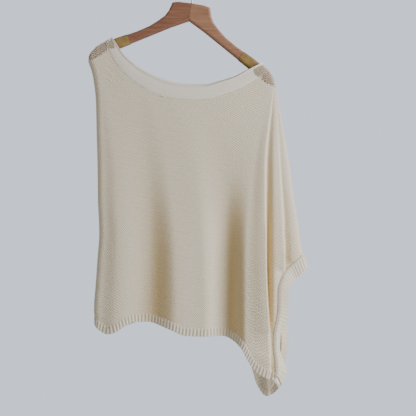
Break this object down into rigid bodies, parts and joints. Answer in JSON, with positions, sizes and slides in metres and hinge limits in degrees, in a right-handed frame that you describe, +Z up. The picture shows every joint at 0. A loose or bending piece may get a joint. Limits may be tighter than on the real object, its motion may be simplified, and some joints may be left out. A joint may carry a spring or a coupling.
{
  "type": "knitted poncho sweater on a wooden clothes hanger",
  "caption": "Off-white loose-knit poncho sweater with a boat neck, one closed straight side and one draped wing with a ribbed open edge, hung on a flat wooden hanger.",
  "frame": {"origin": "inside of the hook's crown, where a rail or a wall hook carries the hanger", "axes": "+Z up along gravity, +X to the open wing side as seen from the front, the front of the garment faces -Y"},
  "size_m": [0.508, 0.0821, 1.0044],
  "materials": {
    "ivory_knit": "loose slubby plain knit",
    "ivory_rib": "ribbed knit edge",
    "ivory_band": "fine smooth knit neckband",
    "hanger_wood_dark": "oiled reddish brown hardwood",
    "hanger_wood_light": "oiled light brown hardwood",
    "grip_sleeve": "matte ochre non-slip sleeve",
    "hook_steel": "bright drawn steel wire"
  },
  "bodies": {
    "root": {"front_panel": "ivory_knit", "back_panel": "ivory_knit", "front_hem_rib": "ivory_rib", "back_hem_rib": "ivory_rib", "front_cuff_rib": "ivory_rib", "back_cuff_rib": "ivory_rib", "front_neckband": "ivory_band", "back_neckband": "ivory_band", "hanger_arm_left": "hanger_wood_dark", "hanger_arm_right": "hanger_wood_light", "grip_sleeve_left": "grip_sleeve", "grip_sleeve_right": "grip_sleeve", "hanger_hook": "hook_steel"}
  },
  "joints": []
}
